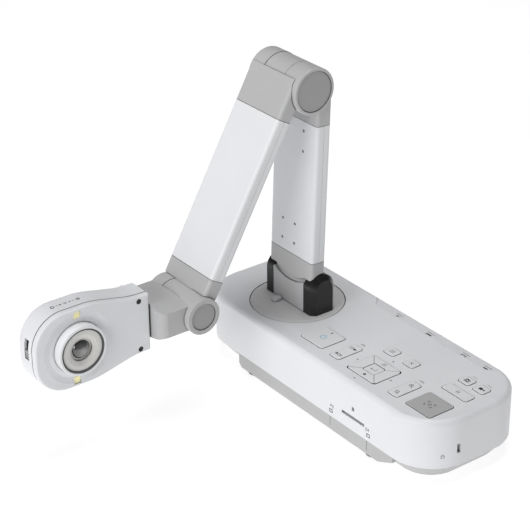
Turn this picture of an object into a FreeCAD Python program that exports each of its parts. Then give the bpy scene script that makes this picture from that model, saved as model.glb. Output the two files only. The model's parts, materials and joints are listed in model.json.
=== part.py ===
import FreeCAD, Part
import math
import os

# Desk document camera: a keypad base with a turntable, a two-section folding arm, and a camera head
# that turns about its own neck. Millimetres. X runs along the base, Y from its front to its back,
# Z up. The origin is the middle of the base's footprint, on the desk.

# ---- driving dimensions -------------------------------------------------------------------------
BASE_L = 260.0
BASE_W = 95.4
BASE_R = 33.0
TOP = 51.35
SEAM = 14.2
TRAY_BOTTOM = 2.7
WALL = 2.5

ARM_X = -64.7
TURN_Y = -3.4
TURN_R = 35.2

SHOULDER = (-1.3, 71.0)
LOWER_LEAN = -2.2
UPPER_LEAN = -29.4
HALF_ARM = 25.0
# (y, z) of each arm's far hinge, with the arm upright and its near hinge at the origin
ELBOW_Y, ELBOW_Z = -15.7, 156.4
WRIST_Y, WRIST_Z = -13.9, -172.3

LOWER_FRONT = -9.25
LOWER_BACK = 3.25
UPPER_FRONT = -17.7
UPPER_BACK = -5.3
ELBOW_R = 17.1
KNUCKLE_R = 17.4
WRIST_R = 13.5
SHOULDER_R = 9.4
CAP_R = 10.9
SEAT_RISE = 4.6

LENS_Y = -198.1
HEAD_END = -140.8
HEAD_TIP = -33.4
HEAD_BACK = -12.3
HEAD_SEAM = 6.7
HEAD_FRONT = 11.2
NECK_END = -139.9

KEY_GAP = 0.4
KEY_PROUD = 0.5
DISC_GAP = 0.6
SHELL_GAP = 0.2
GAP = 0.3
FIT = 0.05


def V(x, y, z):
    return FreeCAD.Vector(x, y, z)


def leaned(start, y, z, lean):
    """The (y, z) point that an upright arm's point comes to when the arm leans from start."""
    turn = math.radians(lean)
    across = y * math.cos(turn) - z * math.sin(turn)
    up = y * math.sin(turn) + z * math.cos(turn)
    return start[0] + across, start[1] + up


ELBOW = leaned(SHOULDER, ELBOW_Y, ELBOW_Z, LOWER_LEAN)
WRIST = leaned(ELBOW, WRIST_Y, WRIST_Z, UPPER_LEAN)


# ---- helpers ------------------------------------------------------------------------------------
def box(x0, x1, y0, y1, z0, z1):
    return Part.makeBox(x1 - x0, y1 - y0, z1 - z0, V(x0, y0, z0))


def rod_x(y, z, r, x0, x1):
    return Part.makeCylinder(r, x1 - x0, V(x0, y, z), V(1, 0, 0))


def rod_y(x, z, r, y0, y1):
    return Part.makeCylinder(r, y1 - y0, V(x, y0, z), V(0, 1, 0))


def rod_z(x, y, r, z0, z1):
    return Part.makeCylinder(r, z1 - z0, V(x, y, z0), V(0, 0, 1))


def along(edge, axis):
    """True for a straight edge that runs along one of the three axes."""
    if not isinstance(edge.Curve, Part.Line):
        return False
    return abs(abs(edge.Curve.Direction.dot(axis)) - 1) < 1e-6


def soften(shape, radius, axis, keep=lambda point: True):
    """Round the straight edges that run along axis and whose middle point is accepted by keep."""
    edges = [e for e in shape.Edges if along(e, axis) and keep(e.CenterOfMass)]
    return shape.makeFillet(radius, edges)


def rounded_box(x0, x1, y0, y1, z0, z1, radius):
    return soften(box(x0, x1, y0, y1, z0, z1), radius, V(0, 0, 1))


def edges_at(shape, axis_index, value, tolerance=0.01):
    """All edges that lie in the plane where the given coordinate has the given value."""
    found = []
    for edge in shape.Edges:
        low = (edge.BoundBox.XMin, edge.BoundBox.YMin, edge.BoundBox.ZMin)[axis_index]
        high = (edge.BoundBox.XMax, edge.BoundBox.YMax, edge.BoundBox.ZMax)[axis_index]
        if abs(low - value) < tolerance and abs(high - value) < tolerance:
            found.append(edge)
    return found


def prism_x(points, x0, x1):
    """A prism along X over a closed outline of (y, z) points."""
    loop = [V(x0, y, z) for y, z in points]
    return Part.Face(Part.makePolygon(loop + loop[:1])).extrude(V(x1 - x0, 0, 0))


def fuse(shapes):
    joined = shapes[0]
    for shape in shapes[1:]:
        joined = joined.fuse(shape)
    return joined.removeSplitter()


def cut(shape, tools):
    for tool in tools:
        shape = shape.cut(tool)
    return shape


def compound(shapes):
    return Part.makeCompound(shapes)


def write(name, shape):
    if not shape.isValid():
        print("invalid", name)
    for solid in shape.Solids:
        if solid.Volume < 0.01:
            print("tiny solid in", name)
    print(name, len(shape.Solids), round(shape.Volume / 1000, 2))
    shape.exportStep("parts/" + name + ".step")


def on_lower_arm(shape):
    """Place a shape that was drawn upright about the shoulder axis."""
    placed = shape.copy()
    placed.rotate(V(0, 0, 0), V(1, 0, 0), LOWER_LEAN)
    placed.translate(V(ARM_X, SHOULDER[0], SHOULDER[1]))
    return placed


def on_upper_arm(shape):
    """Place a shape that was drawn upright about the elbow axis."""
    placed = shape.copy()
    placed.rotate(V(0, 0, 0), V(1, 0, 0), UPPER_LEAN)
    placed.translate(V(ARM_X, ELBOW[0], ELBOW[1]))
    return placed


# ---- base ---------------------------------------------------------------------------------------
def footprint(inset, z0, z1):
    """The base's rounded plan shape, moved in by inset on every side."""
    half_l = BASE_L / 2 - inset
    half_w = BASE_W / 2 - inset
    return rounded_box(-half_l, half_l, -half_w, half_w, z0, z1, BASE_R - inset)


# name: (centre x, centre y, size along x, size along y)
SQUARE_KEYS = {
    "power_key": (-8.6, -23.6, 24.0, 22.4),
    "enter_key": (47.6, -23.6, 11.6, 11.0),
    "menu_key": (37.1, 2.2, 10.2, 8.8),
    "escape_key": (57.5, 2.2, 10.2, 8.8),
    "focus_key": (105.3, -23.6, 24.6, 22.4),
    "freeze_key": (105.0, 2.2, 24.6, 8.8),
    "capture_key": (97.9, 17.3, 10.2, 8.8),
    "record_key": (112.2, 17.3, 10.2, 8.8),
}
ROCKER_KEYS = {
    "source_rocker": (17.2, -23.6, 10.2, 22.8),
    "zoom_rocker": (79.8, -23.6, 9.8, 22.8),
}
PAD_CENTRE = (47.6, -23.6)
PAD_HALF_X = 14.9
PAD_HALF_Y = 12.6
PAD_HOLE_X = 6.2
PAD_HOLE_Y = 5.9

TRAY_SCREWS = [(-104, -26), (-104, 26), (89.2, -26), (89.2, 26)]
SD_X = (42.3, 66.7)
SD_Z = 24.6
LOCK_Y = -18.0
LOCK_Z = (24.1, 31.1)
# rear sockets: x centre, opening width, opening height
PORTS = {"dc": (93.0, 9.0, 9.0), "digital": (71.0, 15.4, 6.0), "analogue": (34.0, 31.0, 12.6)}
USB_PORTS = [(0.0, 13.4, 5.8), (-40.0, 9.0, 8.2)]
PORT_Z = 25.0
BOARD_Z = 16.0
BOARD_T = 1.6


def key_opening(cx, cy, sx, sy):
    half_x = sx / 2 + KEY_GAP
    half_y = sy / 2 + KEY_GAP
    return rounded_box(cx - half_x, cx + half_x, cy - half_y, cy + half_y, TOP - 6, TOP + 2, 2.2)


STRIP_Y = 36.5
STRIP_SLOPE = 5.0


def rear_strip():
    """The wedge taken off the cover's top along the back, over the rear sockets."""
    plan = [(-34, BASE_W / 2 + 1), (-22, STRIP_Y), (94, STRIP_Y), (106, BASE_W / 2 + 1)]
    loop = [V(x, y, TOP - 3) for x, y in plan]
    wedge = Part.Face(Part.makePolygon(loop + loop[:1])).extrude(V(0, 0, 5))
    under = box(-200, 200, -100, 100, TOP - 30, TOP)
    under.rotate(V(0, STRIP_Y, TOP), V(1, 0, 0), -STRIP_SLOPE)
    return wedge.cut(under)


def base_cover():
    outer = footprint(0.0, SEAM, TOP)
    outer = outer.makeFillet(4.0, edges_at(outer, 2, TOP))
    shell = outer.cut(footprint(WALL, SEAM - 1, TOP - WALL))
    holes = [rod_z(ARM_X, TURN_Y, TURN_R + DISC_GAP, TOP - 6, TOP + 2), rear_strip()]
    for spec in list(SQUARE_KEYS.values()) + list(ROCKER_KEYS.values()):
        if spec is not SQUARE_KEYS["enter_key"]:
            holes.append(key_opening(*spec))
    holes.append(key_opening(*PAD_CENTRE, 2 * PAD_HALF_X, 2 * PAD_HALF_Y))
    front = -BASE_W / 2
    holes.append(box(SD_X[0], SD_X[1], front - 1, front + WALL + 1, SD_Z - 1.2, SD_Z + 1.2))
    end = BASE_L / 2
    holes.append(box(end - WALL - 1, end + 1, LOCK_Y - 1.5, LOCK_Y + 1.5, LOCK_Z[0], LOCK_Z[1]))
    for x, wide, tall in list(PORTS.values()) + USB_PORTS:
        half_w = wide / 2 + 0.8
        half_t = tall / 2 + 0.8
        back = BASE_W / 2
        holes.append(box(x - half_w, x + half_w, back - 6, back + 1, PORT_Z - half_t, PORT_Z + half_t))
    shell = cut(shell, holes)
    posts = []
    for x, y in TRAY_SCREWS:
        post = rod_z(x, y, 2.8, SEAM + 2.4, TOP - WALL + 0.5)
        posts.append(post.cut(rod_z(x, y, 1.2, SEAM, SEAM + 16)))
    for x, y in [(-18, 6), (22, 24), (76, 10), (121.6, 11)]:
        posts.append(rod_z(x, y, 2.2, TOP - 8.0, TOP - WALL + 0.5))
    return fuse([shell] + posts)


def tray_solid(inset):
    """The tray's sloping bowl, moved in by inset: wide at the seam and narrow underneath."""
    low = footprint(10.0 + inset, TRAY_BOTTOM + inset, TRAY_BOTTOM + inset + 1)
    high = footprint(0.6 + inset, SEAM - 1, SEAM)
    lower_wire = [f for f in low.Faces if f.CenterOfMass.z < TRAY_BOTTOM + inset + 0.01][0].OuterWire
    upper_wire = [f for f in high.Faces if f.CenterOfMass.z > SEAM - 0.01][0].OuterWire
    return Part.makeLoft([lower_wire, upper_wire], True, True)


def base_tray():
    bowl = tray_solid(0.0)
    front = -BASE_W / 2 + 0.6
    side_view = [(-79.5, SEAM), (-79.5, TRAY_BOTTOM + 3.0), (-76.5, TRAY_BOTTOM), (81.0, TRAY_BOTTOM),
                 (96.0, 9.4), (96.0, SEAM), (-79.5, SEAM)]
    step = Part.Face(Part.makePolygon([V(x, front, z) for x, z in side_view])).extrude(V(0, -20.0 - front, 0))
    outer = fuse([bowl, step])
    hollow_step = box(-76.5, 79.0, -BASE_W / 2 + 3.1, -20.0, TRAY_BOTTOM + WALL + 0.5, SEAM + 1)
    tray = cut(outer, [tray_solid(WALL), hollow_step])
    lip = footprint(WALL + 0.2, SEAM - 0.6, SEAM + 2.2).cut(footprint(WALL + 1.7, SEAM - 1, SEAM + 3))
    tower = rod_z(ARM_X, TURN_Y, 24.0, TRAY_BOTTOM, DISC_LOW - FIT)
    inside = [rod_z(ARM_X, TURN_Y, 14.0 + FIT, 25.0, TOP), rod_z(ARM_X, TURN_Y, 21.0, TRAY_BOTTOM + WALL, 30.0)]
    solids = [tray, lip, cut(tower, inside)]
    for x, y in TRAY_SCREWS:
        solids.append(rod_z(x, y, 5.0, TRAY_BOTTOM + 1, SEAM + 2.4))
    for x, y in [(-20, -34), (-20, 34), (74, -34), (80, 34)]:
        solids.append(rod_z(x, y, 3.0, TRAY_BOTTOM + 1, BOARD_Z))
    tray = fuse(solids)
    drills = []
    for x, y in TRAY_SCREWS:
        drills.append(rod_z(x, y, 1.7, 0, SEAM + 4))
        drills.append(rod_z(x, y, 3.4, 0, TRAY_BOTTOM + 3.5))
    return cut(tray, drills)


def tray_screws():
    screws = []
    for x, y in TRAY_SCREWS:
        head = rod_z(x, y, 3.0, TRAY_BOTTOM + 1.5, TRAY_BOTTOM + 3.5)
        shank = rod_z(x, y, 1.2, TRAY_BOTTOM + 3.5, SEAM + 12)
        cross = fuse([
            box(x - 1.6, x + 1.6, y - 0.4, y + 0.4, TRAY_BOTTOM, TRAY_BOTTOM + 2.6),
            box(x - 0.4, x + 0.4, y - 1.6, y + 1.6, TRAY_BOTTOM, TRAY_BOTTOM + 2.6),
        ])
        screws.append(fuse([head, shank]).cut(cross))
    return compound(screws)


def rubber_feet():
    feet = []
    for x, y in [(-67.6, -40.5), (68.9, -40.5), (-67.6, 31.0), (68.9, 31.0)]:
        foot = rod_z(x, y, 5.5, 0.0, TRAY_BOTTOM)
        feet.append(foot.makeChamfer(0.7, edges_at(foot, 2, 0.0)))
    return compound(feet)


def main_board():
    board = box(-26, 98, -37.5, 37.5, BOARD_Z, BOARD_Z + BOARD_T)
    board = cut(board, [rod_z(x, y, 5.5, 0, TOP) for x, y in TRAY_SCREWS])
    chips = [box(20, 36, -8, 8, BOARD_Z + BOARD_T, BOARD_Z + BOARD_T + 1.4)]
    chips.append(box(-8, 2, -6, 12, BOARD_Z + BOARD_T, BOARD_Z + BOARD_T + 1.2))
    chips.append(rod_z(60, 12, 4, BOARD_Z + BOARD_T, BOARD_Z + BOARD_T + 9))
    return fuse([board] + chips)


def contact_points():
    """Where the keypad has a switch under each key."""
    points = [(x, y) for x, y, _, _ in SQUARE_KEYS.values()]
    for x, y, _, long_side in ROCKER_KEYS.values():
        points += [(x, y - long_side / 2 + 4), (x, y + long_side / 2 - 4)]
    cx, cy = PAD_CENTRE
    points += [(cx - 10.5, cy), (cx + 10.5, cy), (cx, cy - 9.2), (cx, cy + 9.2)]
    return points


def keypad_board():
    board = box(-24, 124, -38, 30, TOP - 9.6, TOP - 8.0).common(footprint(WALL + 0.5, 0, TOP))
    board = cut(board, [rod_z(x, y, 3.5, 0, TOP) for x, y in TRAY_SCREWS])
    domes = [rod_z(x, y, 2.2, TOP - 8.0, TOP - 7.2) for x, y in contact_points()]
    return fuse([board] + domes)


def sd_socket():
    low = BOARD_Z + BOARD_T
    body = box(SD_X[0] - 2, SD_X[1] + 2, -BASE_W / 2 + WALL + 0.2, -16.0, low, SD_Z + 2.2)
    slot = box(SD_X[0], SD_X[1], -BASE_W / 2, -19.0, SD_Z - 1.2, SD_Z + 1.2)
    return body.cut(slot)


def socket_shell(x, wide, tall, deep):
    """A rectangular metal socket with a contact tongue, open to the back."""
    back = BASE_W / 2 - 1.2
    low = PORT_Z - tall / 2 - 0.5
    left = x - wide / 2 - 0.5
    right = x + wide / 2 + 0.5
    body = box(left, right, back - deep, back, low, PORT_Z + tall / 2 + 0.5)
    foot = box(left, right, back - deep, BASE_W / 2 - WALL - 0.3, BOARD_Z + BOARD_T, low)
    body = body.fuse(foot)
    mouth = box(x - wide / 2, x + wide / 2, back - deep + 2, back + 1, PORT_Z - tall / 2, PORT_Z + tall / 2)
    tongue = box(x - wide / 2 + 1.6, x + wide / 2 - 1.6, back - deep + 1, back - 2, PORT_Z - 0.9, PORT_Z + 0.9)
    return body.cut(mouth).fuse(tongue).removeSplitter()


def analogue_socket():
    """A wide video socket: a flange, its raised face and two threaded posts."""
    x, wide, tall = PORTS["analogue"]
    face = BASE_W / 2 - WALL - 0.3
    body = box(x - wide / 2, x + wide / 2, face - 11, face - 1, BOARD_Z + BOARD_T, PORT_Z + tall / 2)
    flange = box(x - wide / 2 - 0.5, x + wide / 2 + 0.5, face - 1, face, PORT_Z - tall / 2, PORT_Z + tall / 2)
    raised = soften(box(x - 8.3, x + 8.3, face - 1, face + 2.6, PORT_Z - 4.0, PORT_Z + 4.0), 2.0, V(0, 1, 0))
    posts = [rod_y(x + side * 12.5, PORT_Z, 2.3, face - 1, face + 2.4) for side in (-1, 1)]
    holes = [rod_y(x + side * 12.5, PORT_Z, 1.3, face - 2, face + 4) for side in (-1, 1)]
    return cut(fuse([body, flange, raised] + posts), holes)


def rear_sockets():
    sockets = [socket_shell(*PORTS["digital"], 12.0), analogue_socket()]
    sockets += [socket_shell(x, wide, tall, 15.0) for x, wide, tall in USB_PORTS]
    return compound(sockets)


def dc_inlet():
    x, wide, tall = PORTS["dc"]
    back = BASE_W / 2 - 1.2
    body = box(x - 4.9, x + 4.9, back - 13, back, PORT_Z - 5.0, PORT_Z + 4.9)
    body = body.fuse(box(x - 4.9, x + 4.9, back - 13, back - 1.6, BOARD_Z + BOARD_T, PORT_Z - 5.0))
    mouth = rod_y(x, PORT_Z, 3.2, back - 10.5, back + 1)
    pin = rod_y(x, PORT_Z, 1.0, back - 11, back - 1.5)
    return body.cut(mouth).fuse(pin).removeSplitter()


def lock_plate():
    inner = BASE_L / 2 - WALL
    plate = box(inner - 2.2, inner - 0.2, LOCK_Y - 7, LOCK_Y + 7, LOCK_Z[0] - 5, LOCK_Z[1] + 5)
    slot = box(inner - 5, BASE_L / 2 + 1, LOCK_Y - 1.5, LOCK_Y + 1.5, LOCK_Z[0], LOCK_Z[1])
    plate = plate.common(footprint(WALL + 0.2, 0, TOP))
    return plate.cut(slot)


# ---- keys ---------------------------------------------------------------------------------------
def key_body(cx, cy, sx, sy, stem=2.5):
    """A key cap with a flange that the cover holds down and a stem over its switch."""
    half_x = sx / 2
    half_y = sy / 2
    cap = rounded_box(cx - half_x, cx + half_x, cy - half_y, cy + half_y, TOP - 3.4, TOP + KEY_PROUD, 1.8)
    cap = cap.makeFillet(0.4, edges_at(cap, 2, TOP + KEY_PROUD))
    low = TOP - 3.6
    flange = box(cx - half_x - 0.9, cx + half_x + 0.9, cy - half_y - 0.9, cy + half_y + 0.9, low, low + 0.8)
    return fuse([cap, flange, rod_z(cx, cy, stem, TOP - 6.4, low + 0.2)])


def square_key(name):
    return key_body(*SQUARE_KEYS[name])


def enter_key():
    cx, cy, sx, sy = SQUARE_KEYS["enter_key"]
    cap = box(cx - sx / 2, cx + sx / 2, cy - sy / 2, cy + sy / 2, TOP - 3.4, TOP + KEY_PROUD)
    cap = soften(cap, 1.8, V(0, 0, 1))
    cap = cap.makeFillet(0.4, edges_at(cap, 2, TOP + KEY_PROUD))
    return fuse([cap, rod_z(cx, cy, 2.5, TOP - 6.4, TOP - 3.2)])


def rocker_key(name):
    cx, cy, sx, sy = ROCKER_KEYS[name]
    cap = rounded_box(cx - sx / 2, cx + sx / 2, cy - sy / 2, cy + sy / 2, TOP - 3.0, TOP + KEY_PROUD, 1.8)
    cap = cap.makeFillet(0.4, edges_at(cap, 2, TOP + KEY_PROUD))
    stems = [rod_z(cx, cy + side * (sy / 2 - 4), 1.6, TOP - 6.0, TOP - 2.8) for side in (-1, 1)]
    pivot = rod_x(cy, TOP - 4.0, 1.2, cx - sx / 2 - 1.4, cx + sx / 2 + 1.4)
    return fuse([cap, pivot] + stems)


def pad_key(turns):
    """One of the four wedge keys round the enter key; turns counts quarter turns from the left one."""
    cx, cy = PAD_CENTRE
    cap = rounded_box(-PAD_HALF_X, PAD_HALF_X, -PAD_HALF_Y, PAD_HALF_Y, TOP - 3.4, TOP + KEY_PROUD, 3.0)
    cap = cap.makeFillet(0.4, edges_at(cap, 2, TOP + KEY_PROUD))
    cap = cap.cut(rounded_box(-PAD_HOLE_X, PAD_HOLE_X, -PAD_HOLE_Y, PAD_HOLE_Y, TOP - 8, TOP + 2, 2.0))
    reach = 60.0
    wide = reach * PAD_HALF_Y / PAD_HALF_X
    corners = [(-0.2, 0.0), (-reach, -wide + 0.2), (-reach, wide - 0.2)]
    if turns % 2:
        corners = [(0.0, -0.2), (-reach + 0.2, -wide), (reach - 0.2, -wide)]
    if turns >= 2:
        corners = [(-x, -y) for x, y in corners]
    loop = [V(x, y, TOP - 10) for x, y in corners]
    wedge = Part.Face(Part.makePolygon(loop + loop[:1])).extrude(V(0, 0, 20))
    wedge_key = cap.common(wedge)
    stem_at = [(-10.5, 0), (0, -9.2), (10.5, 0), (0, 9.2)][turns]
    key = fuse([wedge_key, rod_z(stem_at[0], stem_at[1], 2.0, TOP - 6.4, TOP - 3.2)])
    key.translate(V(cx, cy, 0))
    return key


# ---- turntable ----------------------------------------------------------------------------------
DISC_LOW = TOP - 4.0
DISC_TOP = TOP + 0.35
CAP_IN = 18.1
CAP_OUT = 29.3


def turntable_disc():
    disc = rod_z(ARM_X, TURN_Y, TURN_R, DISC_LOW, TOP - 0.2)
    rise = DISC_TOP - TOP + 0.2
    disc = disc.fuse(Part.makeCone(TURN_R, TURN_R - 2.8, rise, V(ARM_X, TURN_Y, TOP - 0.2)))
    rib = rounded_box(ARM_X - 10.5, ARM_X - 5.5, -20.5, SHOULDER[0] - 12.2, DISC_TOP, DISC_TOP + 2.2, 1.5)
    return fuse([disc, rib]).cut(rod_z(ARM_X, TURN_Y, 9.0, DISC_LOW - 1, DISC_TOP + 5))


def swivel_spindle():
    tube = rod_z(ARM_X, TURN_Y, 14.0, 26.0, DISC_LOW)
    return tube.cut(rod_z(ARM_X, TURN_Y, 9.0, 20, DISC_LOW + 1))


def swivel_retainer():
    ring = rod_z(ARM_X, TURN_Y, 19.0, 26.0, 29.7)
    return ring.cut(rod_z(ARM_X, TURN_Y, 14.0, 20, 35))


def tombstone(inset, x0, x1, low):
    """An upright block with a round top about the shoulder axis."""
    radius = CAP_R - inset
    y, z = SHOULDER
    block = box(x0, x1, y - radius, y + radius, low, z)
    return block.fuse(rod_x(y, z, radius, x0, x1)).removeSplitter()


def hinge_cap(side):
    near = ARM_X + side * CAP_IN
    far = ARM_X + side * CAP_OUT
    x0, x1 = min(near, far), max(near, far)
    outer = tombstone(0.0, x0, x1, DISC_TOP)
    rim = [e for e in edges_at(outer, 0, far) if e.CenterOfMass.z > DISC_TOP + 0.1]
    outer = outer.makeChamfer(3.4, rim)
    hollow = tombstone(2.6, min(near + side * 1.6, far - side * 3.4), max(near + side * 1.6, far - side * 3.4), 40)
    seat = rod_x(SHOULDER[0], SHOULDER[1], 5.0, ARM_X - 24.5, ARM_X + 24.5)
    boss = rod_x(SHOULDER[0], SHOULDER[1], 7.4, min(near + side, far - side * 3), max(near + side, far - side * 3))
    return fuse([outer.cut(hollow), boss]).cut(seat)


def seat_curve(x, y, z):
    """A cylinder along Y whose underside is the dipped edge between shoulder block and arm."""
    half = CAP_IN - 0.2
    radius = (half ** 2 + SEAT_RISE ** 2) / (2 * SEAT_RISE)
    return rod_y(x, z + 0.3 + radius, radius, y - 30, y + 30)


def shoulder_block():
    """The fixed grey housing between the black caps; its front rises in a curve at both ends."""
    y, z = SHOULDER
    half = CAP_IN - 0.2
    block = box(ARM_X - half, ARM_X + half, y - CAP_R + 0.1, y - 5, DISC_TOP, z + SEAT_RISE)
    block = block.cut(seat_curve(ARM_X, y, z))
    block = block.fuse(box(ARM_X - half, ARM_X + half, y - 5, y + CAP_R - 0.1, DISC_TOP, z - 4.6))
    tools = [rod_x(y, z, SHOULDER_R + GAP, ARM_X - 30, ARM_X + 30)]
    tools.append(rod_z(ARM_X, TURN_Y, 6.0, 40, 80))
    return cut(block.removeSplitter(), tools)


def shoulder_shaft():
    return rod_x(SHOULDER[0], SHOULDER[1], 5.0, ARM_X - 24.5, ARM_X + 24.5)


# ---- lower arm: drawn upright, shoulder axis at the origin ----------------------------------------
LOWER_SEAM = 20.7
LOWER_TOP_SEAM = 127.6
BARREL_X = (-10.8, 28.7)


def arm_tube(front, back, z0, z1, inset, radius):
    """A flat arm section with rounded long edges, moved in by inset."""
    half = HALF_ARM - inset
    tube = box(-half, half, front + inset, back - inset, z0, z1)
    return soften(tube, max(radius - inset, 0.4), V(0, 0, 1))


def arm_covers(front, back, z0, z1):
    """The front and back half shells of an arm section, split along its side."""
    middle = (front + back) / 2
    shell = arm_tube(front, back, z0, z1, 0.0, 2.6).cut(arm_tube(front, back, z0 - 1, z1 + 1, 1.8, 2.6))
    wide = HALF_ARM + 1
    front_half = shell.common(box(-wide, wide, front - 1, middle - 0.05, z0, z1))
    back_half = shell.common(box(-wide, wide, middle + 0.05, back + 1, z0, z1))
    return front_half, back_half


def arm_frame(front, back, z0, z1):
    """The metal channel inside an arm section."""
    channel = box(-20, 20, front + 2.2, back - 2.2, z0, z1)
    return channel.cut(box(-18, 18, front + 4.2, back + 1, z0 - 1, z1 + 1))


LOWER_FRAME_Z = (12.5, 138.0)


def lower_frame_room():
    return box(-20.1, 20.1, LOWER_FRONT + 2.1, LOWER_BACK - 2.1, LOWER_FRAME_Z[0] - 0.1, LOWER_FRAME_Z[1] + 0.1)


def lower_arm_bottom_cap():
    half = CAP_IN - 0.4
    full = arm_tube(LOWER_FRONT, LOWER_BACK, 4.0, LOWER_SEAM, 0.0, 2.6)
    for side in (-1, 1):
        full = full.cut(rod_x(0, 0, CAP_R + 0.7, min(side * half, side * 30), max(side * half, side * 30)))
    notch = box(-half, half, LOWER_FRONT - 2, -3, 0, SEAT_RISE + 2.6)
    notch = notch.cut(seat_curve(0, 0, 2.6))
    stem = box(-half, half, LOWER_FRONT, LOWER_BACK, 0, 12.5).cut(notch)
    full = full.cut(notch)
    barrel = rod_x(0, 0, SHOULDER_R, -half, half)
    cap = fuse([full, stem, barrel])
    return cut(cap, [rod_x(0, 0, 5.0 + FIT, -30, 30), lower_frame_room()])


def lower_arm_top_cap():
    """The grey collar under the elbow, which carries the elbow barrel."""
    cap = arm_tube(LOWER_FRONT, LOWER_BACK, LOWER_TOP_SEAM, ELBOW_Z - 0.5, 0.0, 2.6)
    knuckle_room = rod_x(ELBOW_Y, ELBOW_Z, KNUCKLE_R + GAP, -30, BARREL_X[0])
    barrel_seat = rod_x(ELBOW_Y, ELBOW_Z, ELBOW_R, BARREL_X[0], 30)
    return cut(cap, [knuckle_room, barrel_seat, lower_frame_room()])


def elbow_barrel():
    x0, x1 = BARREL_X
    barrel = rod_x(ELBOW_Y, ELBOW_Z, ELBOW_R, x0, x1)
    barrel = barrel.makeFillet(1.0, edges_at(barrel, 0, x1))
    groove = rod_x(ELBOW_Y, ELBOW_Z, ELBOW_R + 1, 11.6, 11.85).cut(rod_x(ELBOW_Y, ELBOW_Z, ELBOW_R - 0.3, 11, 12))
    tools = [groove, rod_x(ELBOW_Y, ELBOW_Z, 14.9, x1 - 2.6, x1 + 1)]
    tools.append(rod_x(ELBOW_Y, ELBOW_Z, 4.0, x0 - 1, x1 - 4))
    tools.append(rod_x(ELBOW_Y, ELBOW_Z, 13.0, x0 + 4, x1 - 12))
    return cut(barrel, tools)


def elbow_disc():
    x1 = BARREL_X[1]
    disc = rod_x(ELBOW_Y, ELBOW_Z, 14.8, x1 - 2.6, x1 - 0.6)
    return disc.makeFillet(0.7, edges_at(disc, 0, x1 - 0.6))


def elbow_shaft():
    return rod_x(ELBOW_Y, ELBOW_Z, 4.0, -22.5, BARREL_X[1] - 4)


LOWER_SCREWS = [(-10.5, 30.0), (-10.5, 45.5), (3.5, 30.0), (3.5, 45.5), (10.0, 104.5), (10.0, 120.0)]


def arm_screw(x, front, z):
    """A small pan-head screw set into the front cover."""
    head = rod_y(x, z, 1.1, front + 0.2, front + 1.4)
    shank = rod_y(x, z, 0.7, front + 1.4, front + 4.6)
    return fuse([head, shank])


def screw_hole(x, front, z):
    return fuse([rod_y(x, z, 1.1, front - 1, front + 1.4), rod_y(x, z, 0.7, front, front + 4.6)])


# ---- upper arm: drawn upright, elbow axis at the origin --------------------------------------------
UPPER_SEAM = -26.4
UPPER_LOW_SEAM = -146.7
TONGUE_X = (-10.5, 10.8)
UPPER_FRAME_Z = (-152.0, -22.0)


def upper_frame_room():
    return box(-20.1, 20.1, UPPER_FRONT + 2.1, UPPER_BACK - 2.1, UPPER_FRAME_Z[0] - 0.1, UPPER_FRAME_Z[1] + 0.1)


def upper_arm_top_cap():
    """The grey end that wraps the elbow barrel and turns with a full knuckle on its left."""
    plate = arm_tube(UPPER_FRONT, UPPER_BACK, UPPER_SEAM, 3.0, 0.0, 2.6)
    knuckle = rod_x(0, 0, KNUCKLE_R, -HALF_ARM, BARREL_X[0] - GAP)
    knuckle = knuckle.makeFillet(1.2, edges_at(knuckle, 0, -HALF_ARM))
    room = rod_x(0, 0, ELBOW_R + 0.25, BARREL_X[0] - GAP, 40)
    cap = fuse([plate.cut(room), knuckle])
    return cut(cap, [rod_x(0, 0, 4.0 + FIT, -22.8, 0), upper_frame_room()])


def upper_arm_bottom_cap():
    """The grey end with the tongue that the wrist fork turns about."""
    block = arm_tube(UPPER_FRONT, UPPER_BACK, -163.0, UPPER_LOW_SEAM, 0.0, 2.6)
    ear_room = rod_x(WRIST_Y, WRIST_Z, WRIST_R + GAP, -30, 30)
    tongue = rod_x(WRIST_Y, WRIST_Z, WRIST_R - GAP, TONGUE_X[0], TONGUE_X[1])
    web = box(TONGUE_X[0], TONGUE_X[1], UPPER_FRONT, UPPER_BACK, -170.0, -155.0)
    cap = fuse([block.cut(ear_room), web, tongue])
    return cut(cap, [rod_x(WRIST_Y, WRIST_Z, 4.0 + FIT, -30, 30), upper_frame_room()])


# ---- wrist fork and neck ---------------------------------------------------------------------------
NECK_HALF = 23.9
NECK_SIDE = 9.35


def neck_section(y, crown):
    """A slab section whose top and bottom are bowed out to the crown height."""
    x, z = ARM_X, WRIST[1]
    top = Part.Arc(V(x - NECK_HALF, y, z + NECK_SIDE), V(x, y, z + crown), V(x + NECK_HALF, y, z + NECK_SIDE))
    low = Part.Arc(V(x + NECK_HALF, y, z - NECK_SIDE), V(x, y, z - crown), V(x - NECK_HALF, y, z - NECK_SIDE))
    right = Part.LineSegment(V(x + NECK_HALF, y, z + NECK_SIDE), V(x + NECK_HALF, y, z - NECK_SIDE))
    left = Part.LineSegment(V(x - NECK_HALF, y, z - NECK_SIDE), V(x - NECK_HALF, y, z + NECK_SIDE))
    return Part.Wire([top.toShape(), right.toShape(), low.toShape(), left.toShape()])


def soften_ends(slab):
    """Round the neck slab's two upright corners at its head end."""
    half = NECK_HALF + 0.1
    block = box(ARM_X - half, ARM_X + half, NECK_END, NECK_END + 12, WRIST[1] - 20, WRIST[1] + 20)
    kept = soften(block, 7.0, V(0, 0, 1), lambda point: point.y < NECK_END + 1)
    return slab.cut(block.cut(kept))


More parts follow.
